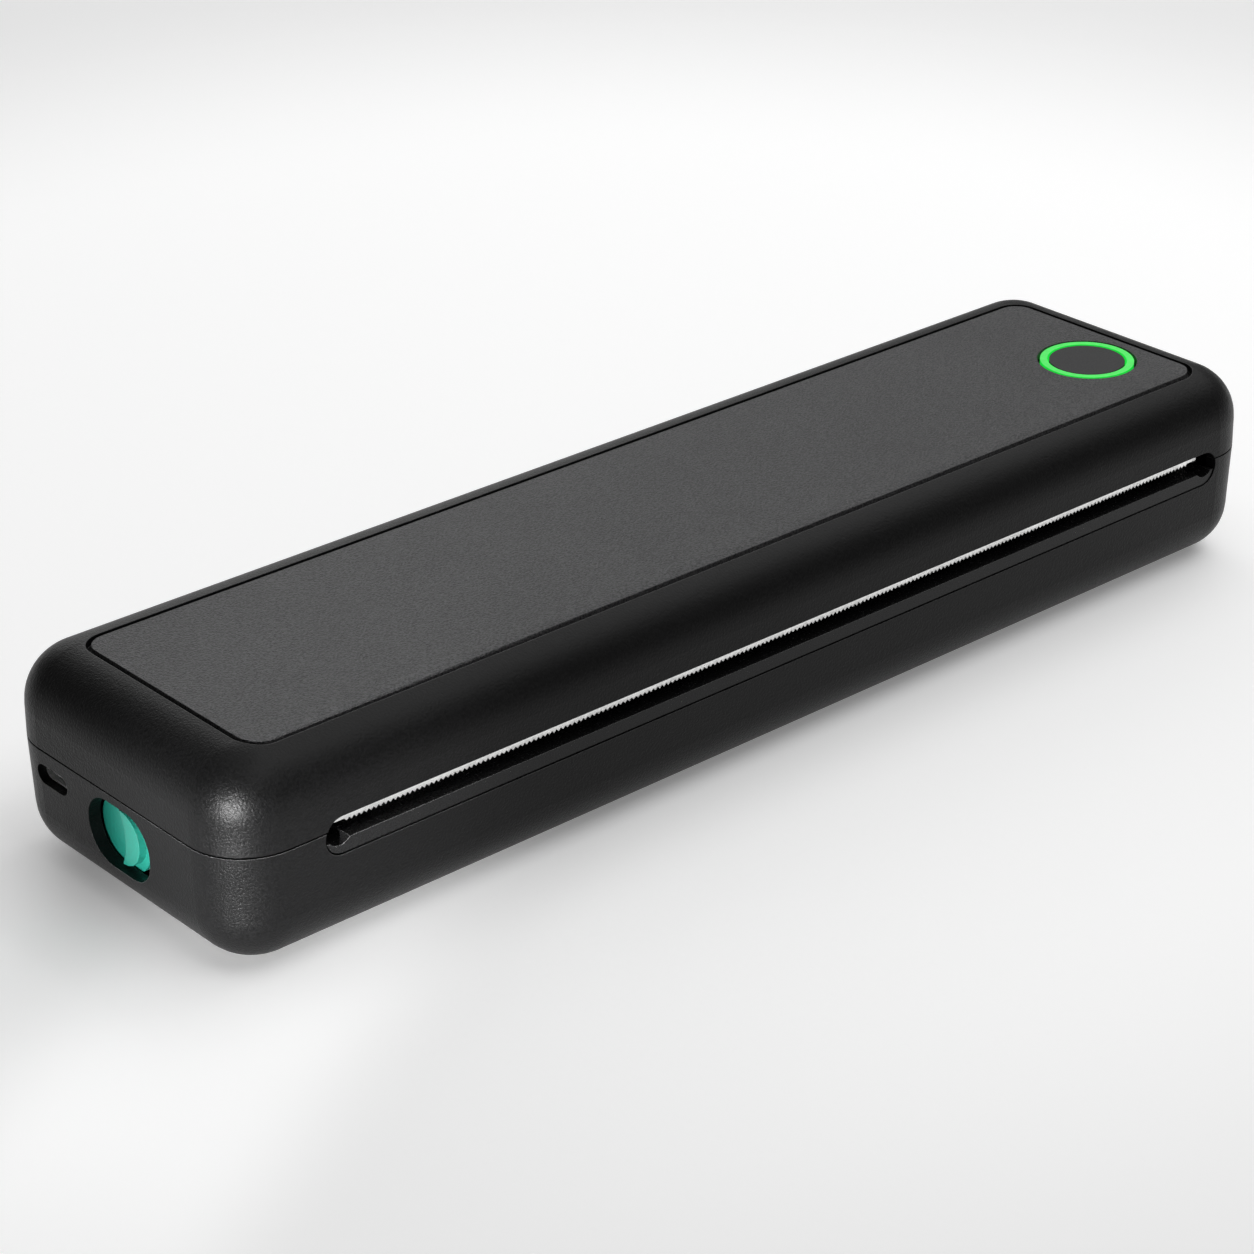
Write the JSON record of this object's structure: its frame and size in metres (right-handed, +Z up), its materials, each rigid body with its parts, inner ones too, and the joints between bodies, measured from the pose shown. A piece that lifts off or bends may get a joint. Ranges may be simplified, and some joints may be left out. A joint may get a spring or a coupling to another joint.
{
  "type": "a4 portable thermal printer",
  "caption": "Slim bar-shaped portable thermal printer for A4 width paper, with a hinged cover, front paper slot, tear bar, round lit power button and a thumb release at one end.",
  "frame": {"origin": "centre of the footprint, on the surface that the feet stand on", "axes": "+X along the bar towards the power button, -Y out of the paper slot, +Z up"},
  "size_m": [0.256, 0.0684, 0.0402],
  "materials": {
    "shell_black": "fine moulded grain",
    "panel_black": "fine leather grain",
    "light_green": "lit light guide",
    "release_teal": "satin moulding",
    "foot_rubber": "matt",
    "inner_black": "moulded",
    "gear_white": "acetal",
    "roller_rubber": "ground",
    "steel": "bright",
    "screw_steel": "zinc",
    "brass": "machined",
    "motor_metal": "drawn can",
    "head_aluminium": "extruded",
    "head_ceramic": "glazed",
    "board_green": "solder mask",
    "chip_black": "moulded",
    "cell_wrap": "foil"
  },
  "bodies": {
    "base": {"lower_shell": "shell_black", "exit_lip": "shell_black", "rubber_feet": "foot_rubber", "hinge_pins": "steel", "inner_frame": "inner_black", "frame_screws": "screw_steel", "paper_sensor": "inner_black", "battery_cells": "cell_wrap", "main_board": "board_green", "main_board_screws": "screw_steel", "board_chips": "chip_black", "usb_board": "board_green", "usb_board_screws": "screw_steel", "usb_c_socket": "steel", "head_pivot_pin": "steel", "head_springs": "steel", "feed_motor": "motor_metal", "gear_plate": "steel", "gear_plate_screws": "screw_steel", "gear_stud": "steel", "latch_spring": "steel"},
    "cover": {"upper_shell": "shell_black", "top_panel": "panel_black", "light_ring": "light_green", "button_board": "board_green", "button_board_screws": "screw_steel", "tact_switch": "chip_black", "tear_bar": "steel", "tear_bar_screws": "screw_steel", "cover_liner": "inner_black", "liner_screws": "screw_steel", "latch_striker": "steel", "striker_screw": "screw_steel", "platen_bushes": "gear_white"},
    "platen": {"platen_roller": "roller_rubber", "platen_shaft": "steel", "platen_gear": "gear_white"},
    "reduction": {"reduction_gear": "gear_white"},
    "rotor": {"motor_pinion": "brass"},
    "head": {"print_head": "head_ceramic", "head_plate": "head_aluminium"},
    "latch_slide": {"release_button": "release_teal", "latch_carrier": "inner_black"},
    "button": {"power_button": "panel_black"}
  },
  "joints": [
    {"name": "cover_hinge", "type": "hinge", "parent": "base", "child": "cover", "pos_m": [0, 0.03205, 0.0238], "axis": [-1, 0, 0], "range_deg": [0, 80]},
    {"name": "platen_spin", "type": "hinge", "parent": "cover", "child": "platen", "pos_m": [0, -0.0205, 0.0265], "axis": [1, 0, 0], "continuous": true},
    {"name": "gear_spin", "type": "hinge", "parent": "base", "child": "reduction", "pos_m": [0, -0.02099, 0.01695], "axis": [1, 0, 0], "continuous": true},
    {"name": "motor_spin", "type": "hinge", "parent": "base", "child": "rotor", "pos_m": [0, -0.01614, 0.0099], "axis": [1, 0, 0], "continuous": true},
    {"name": "head_tilt", "type": "hinge", "parent": "base", "child": "head", "pos_m": [0, -0.0129, 0.0189], "axis": [1, 0, 0], "range_deg": [0, 2], "stiffness_Nm_per_rad": 0.3, "springref_deg": -5.73, "deforming": ["head_springs"]},
    {"name": "release_slide", "type": "slide", "parent": "base", "child": "latch_slide", "axis": [0, -1, 0], "range_m": [0, 0.004], "stiffness_N_per_m": 300, "springref_m": -0.002, "deforming": ["latch_spring"]},
    {"name": "button_press", "type": "slide", "parent": "cover", "child": "button", "axis": [0, 0, -1], "range_m": [0, 0.0006], "stiffness_N_per_m": 200, "springref_m": -0.004}
  ],
  "couplings": [
    {"joint": "gear_spin", "follows": "platen_spin", "ratio": -1.7143},
    {"joint": "motor_spin", "follows": "platen_spin", "ratio": 4.1143}
  ]
}
